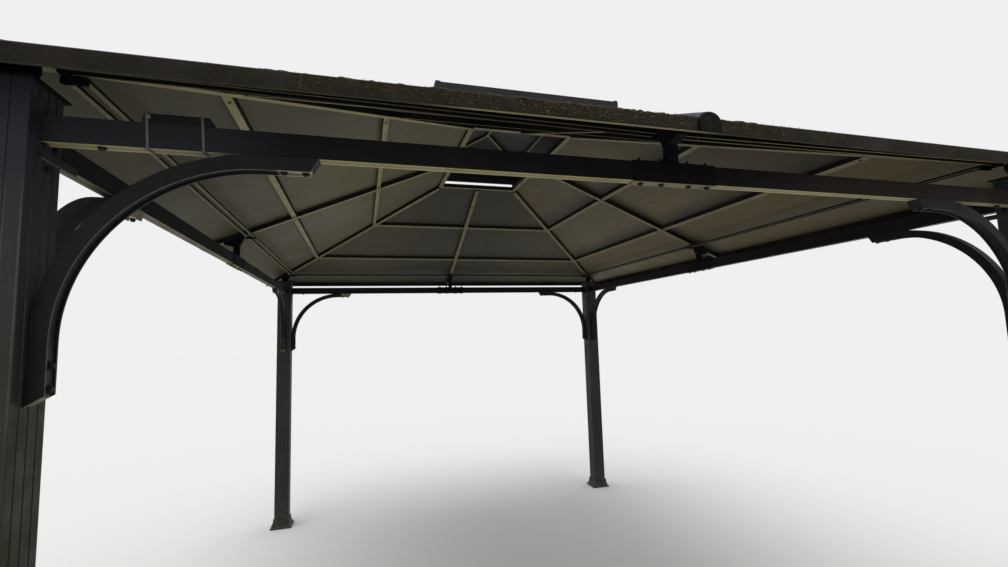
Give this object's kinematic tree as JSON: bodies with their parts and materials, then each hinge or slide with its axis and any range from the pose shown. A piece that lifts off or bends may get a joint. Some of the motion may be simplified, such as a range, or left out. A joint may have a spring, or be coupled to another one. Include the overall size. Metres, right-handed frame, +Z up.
{
  "type": "hardtop metal gazebo",
  "caption": "Open rectangular metal gazebo with grooved posts, curved braces, spliced beams and a hipped steel roof with a raised vent cap.",
  "frame": {"origin": "centre of the four posts at ground level", "axes": "+Z up; +X to the right along the near short side; +Y towards the far short side"},
  "size_m": [3.5946, 4.2528, 3.1749],
  "materials": {
    "frame": "matt powder coat",
    "roof_sheet": "satin coated steel sheet",
    "cover_sheet": "weathered coated sheet",
    "eave_rail": "powder coat with moss and dirt",
    "case": "matt moulded plastic",
    "track": "satin coat"
  },
  "bodies": {
    "root": {"base_covers": "frame", "beam_far": "frame", "beam_left": "frame", "beam_near": "frame", "beam_right": "frame", "beam_sleeves": "frame", "brace_far_at_left": "frame", "brace_far_at_right": "frame", "brace_left_at_far": "frame", "brace_left_at_near": "frame", "brace_near_at_left": "frame", "brace_near_at_right": "frame", "brace_right_at_far": "frame", "brace_right_at_near": "frame", "cap_fascia": "cover_sheet", "cap_frame": "frame", "cap_panels": "cover_sheet", "cap_posts": "frame", "corner_brackets": "frame", "curtain_track_far": "track", "curtain_track_left": "track", "curtain_track_near": "track", "curtain_track_right": "track", "eave_rail_far": "eave_rail", "eave_rail_left": "eave_rail", "eave_rail_near": "eave_rail", "eave_rail_right": "eave_rail", "hip_rafters": "frame", "joint_covers": "cover_sheet", "king_brackets": "frame", "mid_rafters": "frame", "panels_far": "roof_sheet", "panels_left": "roof_sheet", "panels_near": "roof_sheet", "panels_right": "roof_sheet", "post_far_left": "frame", "post_far_right": "frame", "post_near_left": "frame", "post_near_right": "frame", "purlins_far": "frame", "purlins_left": "frame", "purlins_near": "frame", "purlins_right": "frame", "strapped_case": "case", "vent_ring": "frame"}
  },
  "joints": []
}
